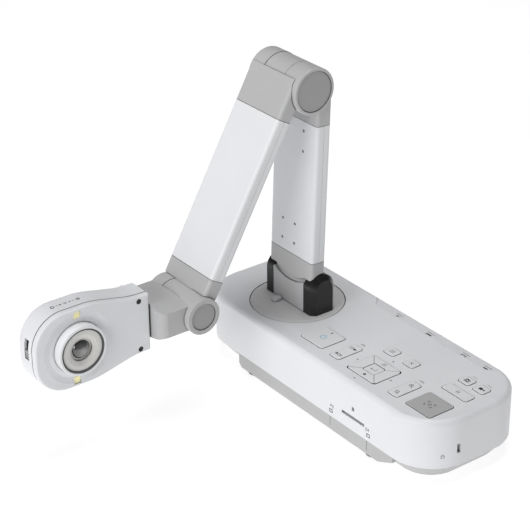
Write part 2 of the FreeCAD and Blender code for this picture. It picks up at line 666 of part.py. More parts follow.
def neck_fork():
    y, z = WRIST
    slab = Part.makeLoft([neck_section(NECK_END, 13.8), neck_section(y + 1.5, 10.2)], True, True)
    slab = soften_ends(slab)
    ear_left = rod_x(y, z, WRIST_R, ARM_X - 22.4, ARM_X + TONGUE_X[0] - GAP)
    ear_right = rod_x(y, z, WRIST_R, ARM_X + TONGUE_X[1] + GAP, ARM_X + BARREL_X[1])
    ear_right = ear_right.makeFillet(0.8, edges_at(ear_right, 0, ARM_X + BARREL_X[1]))
    tongue_room = rod_x(y, z, WRIST_R, ARM_X + TONGUE_X[0] - GAP, ARM_X + TONGUE_X[1] + GAP)
    fork = fuse([slab.cut(tongue_room), ear_left, ear_right])
    x1 = ARM_X + BARREL_X[1]
    tools = [rod_x(y, z, 10.0, x1 - 2.6, x1 + 1)]
    tools.append(rod_x(y, z, 4.0, ARM_X - 20.5, x1 - 4))
    tools.append(rod_y(ARM_X, z, 7.0 + FIT, NECK_END - 1, NECK_END + 17.5))
    tools.append(rod_y(ARM_X, z, 3.5, NECK_END - 1, y - 8))
    return cut(fork, tools)


def wrist_disc():
    x1 = ARM_X + BARREL_X[1]
    disc = rod_x(WRIST[0], WRIST[1], 9.9, x1 - 2.6, x1 - 0.7)
    return disc.makeFillet(0.6, edges_at(disc, 0, x1 - 0.7))


def wrist_shaft():
    return rod_x(WRIST[0], WRIST[1], 4.0, ARM_X - 20.5, ARM_X + BARREL_X[1] - 4)


# ---- camera head ------------------------------------------------------------------------------------
# outline corners from the neck end to the tip: distance from the lens towards the neck, half
# height, and the radius of the round at that corner
HEAD_CORNERS = [(57.3, 22.0, 0.0), (45.0, 22.2, 60.0), (13.0, 29.5, 60.0), (-33.4, 29.5, 24.5)]
RING_R = 18.5
TRIM_R = 16.6
DISH_R = 15.3
GLASS_R = 6.8
LED_REACH = 24.8
HEAD_SCREW_Z = 18.7
HEAD_SCREW_Y = -149.1


def head_outline(inset):
    """The head's face outline in the plane X = ARM_X, moved in by inset."""
    upper = [(p, h) for p, h, _ in HEAD_CORNERS]
    lower = [(p, -h) for p, h, _ in reversed(HEAD_CORNERS)]
    solid = prism_x(upper + lower, 0.0, 5.0)
    for p, h, radius in HEAD_CORNERS[1:]:
        corner = [e for e in solid.Edges if along(e, V(1, 0, 0))
                  and abs(e.CenterOfMass.y - p) < 0.01 and abs(abs(e.CenterOfMass.z) - h) < 0.01]
        solid = solid.makeFillet(radius, corner)
    face = [f for f in solid.Faces if abs(f.CenterOfMass.x) < 0.001 and f.BoundBox.XLength < 0.001][0]
    if inset:
        face = face.makeOffset2D(-inset)
    face.translate(V(ARM_X, LENS_Y, WRIST[1]))
    return face


def head_slab(inset, x0, x1):
    slab = head_outline(inset).extrude(V(x1 - x0, 0, 0))
    slab.translate(V(x0, 0, 0))
    return slab


def lens_bore(r, x0, x1):
    return rod_x(LENS_Y, WRIST[1], r, ARM_X + x0, ARM_X + x1)


def led_window(side, grow, x0, x1):
    y = LENS_Y + (0.3 if side > 0 else -2.4)
    z = WRIST[1] + side * LED_REACH
    half = 2.5 + grow
    return box(ARM_X + x0, ARM_X + x1, y - half, y + half, z - half, z + half)


def screw_seat(side, r, x0, x1):
    return rod_x(HEAD_SCREW_Y, WRIST[1] + side * HEAD_SCREW_Z, r, ARM_X + x0, ARM_X + x1)


def head_front_shell():
    slab = head_slab(0.0, HEAD_SEAM + SHELL_GAP, HEAD_FRONT)
    slab = slab.makeFillet(1.6, edges_at(slab, 0, ARM_X + HEAD_FRONT))
    tools = [head_slab(2.0, HEAD_SEAM - 1, HEAD_FRONT - 2.2)]
    dish = Part.makeCone(22.5, 27.0, 1.3, V(ARM_X + HEAD_FRONT - 1.2, LENS_Y, WRIST[1]), V(1, 0, 0))
    tools += [dish, lens_bore(RING_R - 0.45, 0, 20)]
    tools.append(rod_y(ARM_X, WRIST[1], 7.0, HEAD_END - 4, HEAD_END + 1))
    for side in (-1, 1):
        tools.append(led_window(side, 0.05, 0, 20))
        tools.append(screw_seat(side, 2.0, HEAD_FRONT - 1.6, 20))
        tools.append(screw_seat(side, 1.2, 0, 20))
    return cut(slab, tools)


SWITCH_Z = 90.0
SWITCH_X = -0.5


def head_rear_shell():
    slab = head_slab(0.0, HEAD_BACK, HEAD_SEAM - SHELL_GAP)
    slab = slab.makeFillet(4.0, edges_at(slab, 0, ARM_X + HEAD_BACK))
    tools = [head_slab(2.0, HEAD_BACK + 2.2, HEAD_SEAM + 1)]
    tip = LENS_Y + HEAD_TIP
    tools.append(box(ARM_X + SWITCH_X - 2.6, ARM_X + SWITCH_X + 2.6, tip - 2, tip + 5, SWITCH_Z - 8, SWITCH_Z + 7))
    tools.append(rod_y(ARM_X, WRIST[1], 7.0, HEAD_END - 4, HEAD_END + 1))
    shell = cut(slab, tools)
    posts = []
    for side in (-1, 1):
        post = screw_seat(side, 3.0, HEAD_BACK + 1, HEAD_SEAM - 0.05)
        posts.append(post.cut(screw_seat(side, 0.9, -2, HEAD_SEAM + 1)))
    return fuse([shell] + posts)


def lens_ring():
    ring = lens_bore(RING_R, HEAD_FRONT - 1.0, HEAD_FRONT + 6.0)
    ring = ring.makeFillet(0.8, edges_at(ring, 0, ARM_X + HEAD_FRONT + 6.0))
    return fuse([ring, lens_bore(RING_R - 0.5, HEAD_FRONT - 3.4, HEAD_FRONT)]).cut(lens_bore(TRIM_R, 0, 30))


def lens_trim():
    ring = lens_bore(TRIM_R, HEAD_FRONT - 2.0, HEAD_FRONT + 5.6)
    return ring.cut(lens_bore(DISH_R, 0, 30))


def lens_dish():
    dish = lens_bore(DISH_R, HEAD_FRONT - 2.0, HEAD_FRONT + 4.8)
    x, y, z = ARM_X + HEAD_FRONT, LENS_Y, WRIST[1]
    funnel = Part.makeCone(GLASS_R + 1.0, 12.0, 1.6, V(x + 3.3, y, z), V(1, 0, 0))
    step = lens_bore(10.2, HEAD_FRONT + 2.4, HEAD_FRONT + 3.4)
    return cut(dish, [funnel, step, lens_bore(GLASS_R, 0, 30)])


def lens_glass():
    """The front element: a short rim with a domed face, turned about the lens axis."""
    x, z = ARM_X + HEAD_FRONT, WRIST[1]
    rim = [V(x + 0.5, LENS_Y, z), V(x + 0.5, LENS_Y, z + GLASS_R), V(x + 2.6, LENS_Y, z + GLASS_R)]
    rise = 3.6
    bulge = (GLASS_R ** 2 + rise ** 2) / (2 * rise)
    half_turn = math.asin(GLASS_R / bulge) / 2
    apex = x + 2.6 + rise
    middle = V(apex - bulge + bulge * math.cos(half_turn), LENS_Y, z + bulge * math.sin(half_turn))
    dome = Part.Arc(rim[2], middle, V(apex, LENS_Y, z)).toShape()
    sides = [Part.makeLine(rim[0], rim[1]), Part.makeLine(rim[1], rim[2]), dome]
    sides.append(Part.makeLine(V(apex, LENS_Y, z), rim[0]))
    return Part.Face(Part.Wire(sides)).revolve(V(x, LENS_Y, z), V(1, 0, 0), 360)


def lens_barrel():
    barrel = fuse([lens_bore(13.0, -1.0, HEAD_FRONT - 2.0), lens_bore(GLASS_R, HEAD_FRONT - 2.0, HEAD_FRONT + 0.5)])
    return barrel


def sensor_board():
    y, z = LENS_Y, WRIST[1]
    return box(ARM_X - 2.8, ARM_X - 1.0, y - 20, y + 28, z - 15, z + 15)


def led_windows():
    return compound([led_window(side, 0.0, HEAD_SEAM + 1.5, HEAD_FRONT - 0.9) for side in (-1, 1)])


def head_screws():
    screws = []
    for side in (-1, 1):
        head = screw_seat(side, 1.9, HEAD_FRONT - 1.6, HEAD_FRONT - 0.6)
        shank = screw_seat(side, 0.9, HEAD_SEAM - 6.0, HEAD_FRONT - 1.6)
        screws.append(fuse([head, shank]))
    return compound(screws)


def neck_spindle():
    """The hollow shaft that the head turns on, with the stop flange that holds it in the neck."""
    z = WRIST[1]
    tube = rod_y(ARM_X, z, 7.0, HEAD_END - 10, NECK_END + 16)
    nut = rod_y(ARM_X, z, 8.6, HEAD_END - 7, HEAD_END - 3)
    return fuse([tube, nut]).cut(rod_y(ARM_X, z, 3.5, HEAD_END - 20, NECK_END + 20))


def lamp_switch():
    tip = LENS_Y + HEAD_TIP
    x = ARM_X + SWITCH_X
    z = SWITCH_Z - 4.4
    knob = box(x - 2.4, x + 2.4, tip + 0.1, tip + 4.0, z - 2.6, z + 2.6)
    knob = knob.makeFillet(0.5, [e for e in edges_at(knob, 1, tip + 0.1)])
    ribs = [box(x - 3, x + 3, tip - 1, tip + 0.5, z + k - 0.25, z + k + 0.25) for k in (-1.2, 0.0, 1.2)]
    return cut(knob, ribs)


# ---- everything ---------------------------------------------------------------------------------
os.makedirs("parts", exist_ok=True)

write("base_cover", base_cover())
write("base_tray", base_tray())
write("tray_screws", tray_screws())
write("rubber_feet", rubber_feet())
write("main_board", main_board())
write("keypad_board", keypad_board())
write("sd_socket", sd_socket())
write("rear_sockets", rear_sockets())
write("dc_inlet", dc_inlet())
write("lock_plate", lock_plate())

for key_name in SQUARE_KEYS:
    if key_name != "enter_key":
        write(key_name, square_key(key_name))
write("enter_key", enter_key())
for key_name in ROCKER_KEYS:
    write(key_name, rocker_key(key_name))
for turns, key_name in enumerate(["pad_left", "pad_down", "pad_right", "pad_up"]):
    write(key_name, pad_key(turns))

write("turntable_disc", turntable_disc())
write("swivel_spindle", swivel_spindle())
write("swivel_retainer", swivel_retainer())
write("left_hinge_cap", hinge_cap(-1))
write("right_hinge_cap", hinge_cap(1))
write("shoulder_block", shoulder_block())
write("shoulder_shaft", shoulder_shaft())

lower_front, lower_back = arm_covers(LOWER_FRONT, LOWER_BACK, LOWER_SEAM + 0.1, LOWER_TOP_SEAM - 0.1)
lower_front = cut(lower_front, [screw_hole(x, LOWER_FRONT, z) for x, z in LOWER_SCREWS])
lower_frame = arm_frame(LOWER_FRONT, LOWER_BACK, *LOWER_FRAME_Z)
lower_frame = cut(lower_frame, [screw_hole(x, LOWER_FRONT, z) for x, z in LOWER_SCREWS])
write("lower_arm_bottom_cap", on_lower_arm(lower_arm_bottom_cap()))
write("lower_arm_front_cover", on_lower_arm(lower_front))
write("lower_arm_back_cover", on_lower_arm(lower_back))
write("lower_arm_frame", on_lower_arm(lower_frame))
write("lower_arm_top_cap", on_lower_arm(lower_arm_top_cap()))
write("lower_arm_screws", on_lower_arm(compound([arm_screw(x, LOWER_FRONT, z) for x, z in LOWER_SCREWS])))
write("elbow_barrel", on_lower_arm(elbow_barrel()))
write("elbow_disc", on_lower_arm(elbow_disc()))
write("elbow_shaft", on_lower_arm(elbow_shaft()))

upper_front, upper_back = arm_covers(UPPER_FRONT, UPPER_BACK, UPPER_LOW_SEAM + 0.1, UPPER_SEAM - 0.1)
write("upper_arm_top_cap", on_upper_arm(upper_arm_top_cap()))
write("upper_arm_front_cover", on_upper_arm(upper_front))
write("upper_arm_back_cover", on_upper_arm(upper_back))
write("upper_arm_frame", on_upper_arm(arm_frame(UPPER_FRONT, UPPER_BACK, *UPPER_FRAME_Z)))
write("upper_arm_bottom_cap", on_upper_arm(upper_arm_bottom_cap()))

write("neck_fork", neck_fork())
write("wrist_disc", wrist_disc())
write("wrist_shaft", wrist_shaft())

write("head_front_shell", head_front_shell())
write("head_rear_shell", head_rear_shell())
write("lens_ring", lens_ring())
write("lens_trim", lens_trim())
write("lens_dish", lens_dish())
write("lens_glass", lens_glass())
write("lens_barrel", lens_barrel())
write("sensor_board", sensor_board())
write("led_windows", led_windows())
write("head_screws", head_screws())
write("neck_spindle", neck_spindle())
write("lamp_switch", lamp_switch())
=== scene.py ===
import json
import math

import bpy
from mathutils import Matrix, Vector


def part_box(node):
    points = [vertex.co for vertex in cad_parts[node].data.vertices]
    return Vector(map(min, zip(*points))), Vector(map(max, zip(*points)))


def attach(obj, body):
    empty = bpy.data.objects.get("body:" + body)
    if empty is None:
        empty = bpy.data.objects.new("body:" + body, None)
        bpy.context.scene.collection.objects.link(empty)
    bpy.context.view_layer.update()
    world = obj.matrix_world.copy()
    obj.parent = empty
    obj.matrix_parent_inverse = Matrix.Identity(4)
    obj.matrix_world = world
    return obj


# The looks of a desk document camera: finishes for the CAD pieces, the printed marks on its keys,
# base and head, and a pale studio around it. Lengths are in metres, in the CAD part's own frame,
# except in the printed marks, whose shapes are drawn in millimetres.

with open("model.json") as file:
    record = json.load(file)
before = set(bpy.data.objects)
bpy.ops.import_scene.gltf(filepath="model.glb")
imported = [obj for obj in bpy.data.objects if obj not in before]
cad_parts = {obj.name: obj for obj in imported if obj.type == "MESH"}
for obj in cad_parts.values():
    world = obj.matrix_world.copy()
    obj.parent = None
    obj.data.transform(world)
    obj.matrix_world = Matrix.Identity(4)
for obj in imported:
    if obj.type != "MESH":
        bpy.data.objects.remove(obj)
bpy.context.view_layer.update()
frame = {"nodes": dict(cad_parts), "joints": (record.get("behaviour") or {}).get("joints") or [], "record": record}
HINGE_AT = {joint["name"]: joint["pos_m"] for joint in frame["joints"] if "pos_m" in joint}

MM = 0.001


# ---- finishes -----------------------------------------------------------------------------------
CLOUD_SCALE = 22.0
ROUGH_SCALE = 140.0
GRAIN_SIZE = 0.0006
GRAIN_DEPTH = 0.0001
NOISE_SPAN = (0.3, 0.7)
SMOOTHER, ROUGHER = 0.05, 0.06
# Sharp edges are made a little lighter: the span of pointiness over which this grows, and the most it lightens.
EDGE_SPAN = (0.54, 0.66)
EDGE_LIGHTENING = 0.10
# Painted shade in crevices: the occlusion span that is mapped to shade, and the darkest shade.
CREVICE_SHADE_SPAN = (0.38, 0.84)
CREVICE_SHADE = 0.08
# Painted shade along seams: a line's half width, and how dark it makes the colour.
SEAM_SHADE_HALF = 0.00022
SEAM_SHADE = 0.22
COAT_ROUGHNESS = 0.12


def shade(value):
    """A display value from 0 to 255 as a linear colour value."""
    c = value / 255
    return c / 12.92 if c <= 0.04045 else ((c + 0.055) / 1.055) ** 2.4


def tone(red, green, blue):
    return (shade(red), shade(green), shade(blue), 1.0)


def noise(tree, place, scale, detail):
    node = tree.nodes.new("ShaderNodeTexNoise")
    node.inputs["Scale"].default_value = scale
    node.inputs["Detail"].default_value = detail
    tree.links.new(place, node.inputs["Vector"])
    return node.outputs["Fac"]


def remap(tree, value, source, target):
    """The value socket, carried from the source span to the target span and kept inside it."""
    node = tree.nodes.new("ShaderNodeMapRange")
    for socket, number in zip(("From Min", "From Max", "To Min", "To Max"), source + target):
        node.inputs[socket].default_value = number
    tree.links.new(value, node.inputs["Value"])
    return node.outputs["Result"]


def dimmed(tree, colour, amount):
    """The colour socket scaled by the amount socket."""
    node = tree.nodes.new("ShaderNodeVectorMath")
    node.operation = "SCALE"
    tree.links.new(colour, node.inputs[0])
    tree.links.new(amount, node.inputs["Scale"])
    return node.outputs["Vector"]


def mottled(tree, place, colour, mottle):
    """The colour, lighter and darker in soft clouds."""
    clouds = noise(tree, place, CLOUD_SCALE, 4.0)
    amount = remap(tree, clouds, NOISE_SPAN, (1.0 - mottle, 1.0 + mottle * 0.4))
    tint = tree.nodes.new("ShaderNodeVectorMath")
    tint.operation = "SCALE"
    tint.inputs[0].default_value = colour[:3]
    tree.links.new(amount, tint.inputs["Scale"])
    return tint.outputs["Vector"]


def edge_lightened(tree, colour_now, colour):
    """The colour socket, a little lighter along the sharpest edges."""
    shape = tree.nodes.new("ShaderNodeNewGeometry")
    edge_share = remap(tree, shape.outputs["Pointiness"], EDGE_SPAN, (0.0, EDGE_LIGHTENING))
    mix = tree.nodes.new("ShaderNodeMix")
    mix.data_type = "RGBA"
    mix.inputs["B"].default_value = tuple(min(c * 1.25 + 0.02, 1.0) for c in colour[:3]) + (1.0,)
    tree.links.new(edge_share, mix.inputs["Factor"])
    tree.links.new(colour_now, mix.inputs["A"])
    return mix.outputs["Result"]


def crevice_shaded(tree, colour_now, reach):
    """The colour socket with painted shade: darker where another surface is closer than reach, as in a gap."""
    occlusion = tree.nodes.new("ShaderNodeAmbientOcclusion")
    occlusion.samples = 6
    occlusion.inputs["Distance"].default_value = reach
    return dimmed(tree, colour_now, remap(tree, occlusion.outputs["AO"], CREVICE_SHADE_SPAN, (CREVICE_SHADE, 1.0)))


def seam_shaded(tree, colour_now, place, normal, distance):
    """The colour socket with a thin line of painted shade where the plane cuts the piece."""
    along = tree.nodes.new("ShaderNodeVectorMath")
    along.operation = "DOT_PRODUCT"
    along.inputs[1].default_value = normal
    tree.links.new(place, along.inputs[0])
    line = tree.nodes.new("ShaderNodeMath")
    line.operation = "COMPARE"
    line.inputs[1].default_value = distance
    line.inputs[2].default_value = SEAM_SHADE_HALF
    tree.links.new(along.outputs["Value"], line.inputs[0])
    return dimmed(tree, colour_now, remap(tree, line.outputs["Value"], (0.0, 1.0), (1.0, SEAM_SHADE)))


def grained(tree, place, grain, edge):
    """A normal socket: edges rounded by edge, with a fine moulded grain over them."""
    soft = tree.nodes.new("ShaderNodeBevel")
    soft.samples = 4
    soft.inputs["Radius"].default_value = edge
    bump = tree.nodes.new("ShaderNodeBump")
    bump.inputs["Strength"].default_value = grain
    bump.inputs["Distance"].default_value = GRAIN_DEPTH
    tree.links.new(noise(tree, place, 1.0 / GRAIN_SIZE, 2.0), bump.inputs["Height"])
    tree.links.new(soft.outputs["Normal"], bump.inputs["Normal"])
    return bump.outputs["Normal"]


def finish(name, colour, roughness, grain=0.0, mottle=0.03, metal=0.0, coat=0.0, edge=0.0004,
           speculars=0.5, glow=0.0, seam_shade_planes=(), crevice_shade_reach=0.0):
    """A painted, moulded or metal finish: mottled colour, uneven roughness, fine grain, lighter sharp edges,
    painted shade in crevices, and thin lines of painted shade along the seam planes, each a (normal, distance)."""
    mat = bpy.data.materials.new(name)
    mat.use_nodes = True
    tree = mat.node_tree
    tree.nodes.clear()
    out = tree.nodes.new("ShaderNodeOutputMaterial")
    skin = tree.nodes.new("ShaderNodeBsdfPrincipled")
    tree.links.new(skin.outputs["BSDF"], out.inputs["Surface"])
    skin.inputs["Metallic"].default_value = metal
    skin.inputs["Coat Weight"].default_value = coat
    skin.inputs["Coat Roughness"].default_value = COAT_ROUGHNESS
    skin.inputs["Specular IOR Level"].default_value = speculars
    place = tree.nodes.new("ShaderNodeTexCoord").outputs["Object"]

    colour_now = edge_lightened(tree, mottled(tree, place, colour, mottle), colour)
    # Painted shade in crevices, then thin lines of painted shade along seams.
    if crevice_shade_reach:
        colour_now = crevice_shaded(tree, colour_now, crevice_shade_reach)
    for normal, distance in seam_shade_planes:
        colour_now = seam_shaded(tree, colour_now, place, normal, distance)
    tree.links.new(colour_now, skin.inputs["Base Color"])
    if glow:
        skin.inputs["Emission Color"].default_value = colour
        skin.inputs["Emission Strength"].default_value = glow

    rough_span = (max(roughness - SMOOTHER, 0.02), min(roughness + ROUGHER, 1.0))
    rough = remap(tree, noise(tree, place, ROUGH_SCALE, 3.0), NOISE_SPAN, rough_span)
    tree.links.new(rough, skin.inputs["Roughness"])
    tree.links.new(grained(tree, place, grain, edge), skin.inputs["Normal"])
    return mat


# Tones of the lens from its middle out to its rim, its paler middle a painted reflection: (share of the reach,
# tone).
LENS_REFLECTION_REACH = 8.5 * MM
LENS_REFLECTION_TONES = [(0.0, tone(140, 140, 140)), (0.45, tone(86, 86, 88)), (0.95, tone(28, 28, 30))]


def lens_with_painted_reflection():
    """Dark coated glass that pales towards its middle: a painted reflection."""
    mat = finish("coated_glass_painted_reflection", tone(30, 30, 32), 0.06, mottle=0.2, coat=1.0, speculars=0.8)
    nodes = mat.node_tree.nodes
    link = mat.node_tree.links.new
    low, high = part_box("lens_glass")
    centre = (low + high) / 2
    away = nodes.new("ShaderNodeVectorMath")
    away.operation = "DISTANCE"
    away.inputs[1].default_value = (high.x, centre.y, centre.z)
    link(nodes.new("ShaderNodeTexCoord").outputs["Object"], away.inputs[0])
    share = nodes.new("ShaderNodeMath")
    share.operation = "MULTIPLY"
    share.inputs[1].default_value = 1.0 / LENS_REFLECTION_REACH
    link(away.outputs["Value"], share.inputs[0])
    ramp = nodes.new("ShaderNodeValToRGB")
    stops = ramp.color_ramp.elements
    stops[0].position, stops[0].color = LENS_REFLECTION_TONES[0]
    stops[1].position, stops[1].color = LENS_REFLECTION_TONES[-1]
    for position, colour in LENS_REFLECTION_TONES[1:-1]:
        stops.new(position).color = colour
    link(share.outputs["Value"], ramp.inputs["Fac"])
    link(ramp.outputs["Color"], nodes["Principled BSDF"].inputs["Base Color"])
    return mat


WHITE = tone(228, 229, 232)
MID_GREY = tone(184, 184, 185)
# How far the painted crevice shade reaches, on the shells and on the joints.
SHELL_SHADE_REACH = 1.6 * MM
JOINT_SHADE_REACH = 1.4 * MM

# One finish for each material slot in the record.
MATERIALS = {
    "white_shell": finish("white_shell", WHITE, 0.42, grain=0.10, mottle=0.025, crevice_shade_reach=SHELL_SHADE_REACH),
    "tray_grey": finish("tray_grey", MID_GREY, 0.5, grain=0.2, mottle=0.04),
    "screw_steel": finish("screw_steel", tone(120, 120, 122), 0.35, metal=0.9, mottle=0.1),
    "foot_rubber": finish("foot_rubber", tone(60, 60, 60), 0.85, grain=0.4, mottle=0.1),
    "board_green": finish("board_green", tone(40, 70, 52), 0.5, mottle=0.2),
    "socket_metal": finish("socket_metal", tone(120, 120, 124), 0.35, metal=0.8, mottle=0.1),
    "inlet_black": finish("inlet_black", tone(20, 20, 21), 0.34, grain=0.05, mottle=0.1, coat=0.1,
                          speculars=0.4),
    "key_white": finish("key_white", tone(229, 230, 232), 0.40, grain=0.08, mottle=0.02,
                        crevice_shade_reach=SHELL_SHADE_REACH),
    "key_grey": finish("key_grey", tone(180, 181, 180), 0.45, grain=0.15, crevice_shade_reach=SHELL_SHADE_REACH),
    "joint_grey": finish("joint_grey", MID_GREY, 0.42, grain=0.15, crevice_shade_reach=JOINT_SHADE_REACH),
    "disc_grey": finish("disc_grey", tone(160, 160, 161), 0.42, grain=0.12),
    "shaft_steel": finish("shaft_steel", tone(150, 150, 152), 0.3, metal=1.0, mottle=0.08),
    "frame_alloy": finish("frame_alloy", tone(170, 170, 173), 0.35, metal=1.0, mottle=0.06),
    "ring_white": finish("ring_white", tone(230, 231, 233), 0.34, grain=0.05, mottle=0.02, coat=0.1),
    "trim_dark": finish("trim_dark", tone(64, 66, 68), 0.3, grain=0.05, mottle=0.1),
    "dish_light": finish("dish_light", tone(216, 215, 212), 0.30, grain=0.05, coat=0.15),
    "lens_glass": lens_with_painted_reflection(),
    "led_cream": finish("led_cream", tone(240, 232, 180), 0.35, mottle=0.08, coat=0.3, glow=0.15),
}
INK = finish("printed_ink", tone(66, 68, 70), 0.6, grain=0.1, mottle=0.15, edge=0.0001)
PALE_INK = finish("pale_ink", tone(112, 114, 116), 0.6, grain=0.1, mottle=0.1, edge=0.0001)
BLUE_INK = finish("blue_ink", tone(128, 200, 224), 0.5, grain=0.05, mottle=0.08, edge=0.0001)
DARK_INK = finish("dark_ink", tone(30, 32, 34), 0.6, grain=0.1, mottle=0.1, edge=0.0001)


def arm_shade_plane(lean, joint, height):
    """The plane across a leaning arm where seam shade is painted, at a height along it from a joint: a normal and
    a distance.
    """
    turn = math.radians(lean)
    normal = (0.0, math.sin(turn), math.cos(turn))
    _, y, z = HINGE_AT[joint]
    return normal, normal[1] * y + normal[2] * z + height


# How far each arm leans at rest, in degrees, and where a line of painted shade runs round its white covers, just
# inside each end: the distance along the arm from its joint. On the head it runs between the shells.
LOWER_LEAN, LOWER_SHADE_LINES = 2.2, (20.95 * MM, 127.35 * MM)
UPPER_LEAN, UPPER_SHADE_LINES = 29.4, (-26.65 * MM, -146.45 * MM)
HEAD_SEAM_SHADE = ((1.0, 0.0, 0.0), -58.35 * MM)
LOWER_SEAM_SHADES = [arm_shade_plane(LOWER_LEAN, "shoulder_hinge", height) for height in LOWER_SHADE_LINES]
UPPER_SEAM_SHADES = [arm_shade_plane(UPPER_LEAN, "elbow_hinge", height) for height in UPPER_SHADE_LINES]
SHELL_LOOK = {"grain": 0.10, "mottle": 0.025, "crevice_shade_reach": SHELL_SHADE_REACH}
# The white covers and head shells carry thin lines of painted shade at their seams.
LOWER_SHELL = finish("lower_shell_seam_shade", WHITE, 0.42, seam_shade_planes=LOWER_SEAM_SHADES, **SHELL_LOOK)
UPPER_SHELL = finish("upper_shell_seam_shade", WHITE, 0.42, seam_shade_planes=UPPER_SEAM_SHADES, **SHELL_LOOK)
HEAD_SHELL = finish("head_shell_seam_shade", WHITE, 0.42, seam_shade_planes=[HEAD_SEAM_SHADE], **SHELL_LOOK)

# Pieces whose finish differs from that of their material slot.
SPECIAL = {
    "lower_arm_front_cover": LOWER_SHELL,
    "lower_arm_back_cover": LOWER_SHELL,
    "upper_arm_front_cover": UPPER_SHELL,
    "upper_arm_back_cover": UPPER_SHELL,
    "head_rear_shell": HEAD_SHELL,
    "head_front_shell": HEAD_SHELL,
    "head_screws": finish("dark_screw", tone(44, 45, 46), 0.4, metal=0.4, mottle=0.1),
    # The card socket is painted near black: painted shade, for the shade deep inside its slot.
    "sd_socket": finish("slot_painted_shade", tone(26, 26, 27), 0.6, grain=0.1, mottle=0.1),
    # The turntable disc is painted lighter than the other joints: painted light, for the light that falls on its
    # top.
    "turntable_disc": finish("disc_top_painted_light", tone(204, 204, 205), 0.42, grain=0.12, crevice_shade_reach=JOINT_SHADE_REACH),
}

for part in frame["record"]["subparts"]:
    node = frame["nodes"][part["node"]]
    node.data.materials.clear()
    node.data.materials.append(SPECIAL.get(part["node"], MATERIALS[part["material_slot"]]))


# ---- shapes for the printed marks, in millimetres -----------------------------------------------
# A shape is a list of closed loops of points. HAIR, FINE and LINE are the widths of most strokes.
HAIR, FINE, LINE = 0.3, 0.35, 0.4


def bar(x, y, wide, tall, turn=0.0):
    """A bar centred on (x, y), turned by an angle in degrees."""
    c, s = math.cos(math.radians(turn)), math.sin(math.radians(turn))
    corners = [(-wide / 2, -tall / 2), (wide / 2, -tall / 2), (wide / 2, tall / 2), (-wide / 2, tall / 2)]
    return [[(x + c * a - s * b, y + s * a + c * b) for a, b in corners]]


def disc(x, y, radius, count=20):
    turns = [i * math.tau / count for i in range(count)]
    return [[(x + radius * math.cos(a), y + radius * math.sin(a)) for a in turns]]


def ring(x, y, inner, outer, start=0.0, end=360.0, count=24):
    """A ring, or an arc of one, as a row of four-sided pieces."""
    pieces = []
    for i in range(count):
        a = math.radians(start + (end - start) * i / count)
        b = math.radians(start + (end - start) * (i + 1) / count)
        pieces.append([(x + inner * math.cos(a), y + inner * math.sin(a)),
                       (x + outer * math.cos(a), y + outer * math.sin(a)),
                       (x + outer * math.cos(b), y + outer * math.sin(b)),
                       (x + inner * math.cos(b), y + inner * math.sin(b))])
    return pieces


def outline(x, y, wide, tall, line):
    """A rectangular frame drawn with four bars."""
    up, across = (tall - line) / 2, (wide - line) / 2
    level = bar(x, y + up, wide, line) + bar(x, y - up, wide, line)
    inside = tall - 2 * line
    return level + bar(x - across, y, line, inside) + bar(x + across, y, line, inside)


def arrow(x, y, size, turn):
    """A solid triangle pointing along the turn angle."""
    c, s = math.cos(math.radians(turn)), math.sin(math.radians(turn))
    tips = [(1.0, 0.0), (-0.6, 0.75), (-0.6, -0.75)]
    return [[(x + size * (p * c - q * s), y + size * (p * s + q * c)) for p, q in tips]]


def moved(shapes, dx, dy):
    return [[(x + dx, y + dy) for x, y in loop] for loop in shapes]


def scaled(shapes, across, up):
    return [[(x * across, y * up) for x, y in loop] for loop in shapes]


def magnifier(inside):
    """A magnifying glass with a sign inside it."""
    return moved(ring(0, 0, 1.25, 1.6) + bar(1.7, -1.7, 1.5, 0.45, -45) + inside, -0.3, 0)


def focus_brackets():
    """The four corners of a frame."""
    corner = bar(0.75, 0, 1.9, LINE) + bar(0, -0.75, LINE, 1.9)
    return [loop for side in (-1, 1) for end in (-1, 1)
            for loop in scaled(moved(corner, -3.4, 2.6), side, end)]


def sun():
    """A small ring with eight rays."""
    rays = []
    for i in range(8):
        a = math.radians(i * 45)
        rays += bar(1.75 * math.cos(a), 1.75 * math.sin(a), 0.8, 0.28, i * 45)
    return ring(0, 0, 0.65, 0.95) + rays


SOURCE_SHAPES = (bar(-2.6, -6.6, 1.3, 2.3) + outline(0, -6.6, 2.6, 2.3, FINE) + bar(2.2, -6.6, 0.5, 2.3)
                 + outline(-1.6, 6.4, 3.0, 2.2, FINE) + bar(1.6, 6.2, 1.8, 1.8) + arrow(3.0, 6.2, 0.8, 0))
MINUS = bar(0, 0, 1.5, HAIR)
PLUS = MINUS + bar(0, 0, HAIR, 1.5)
ZOOM_SHAPES = moved(magnifier(MINUS), 0, -6.4) + moved(magnifier(PLUS), 0, 6.4)

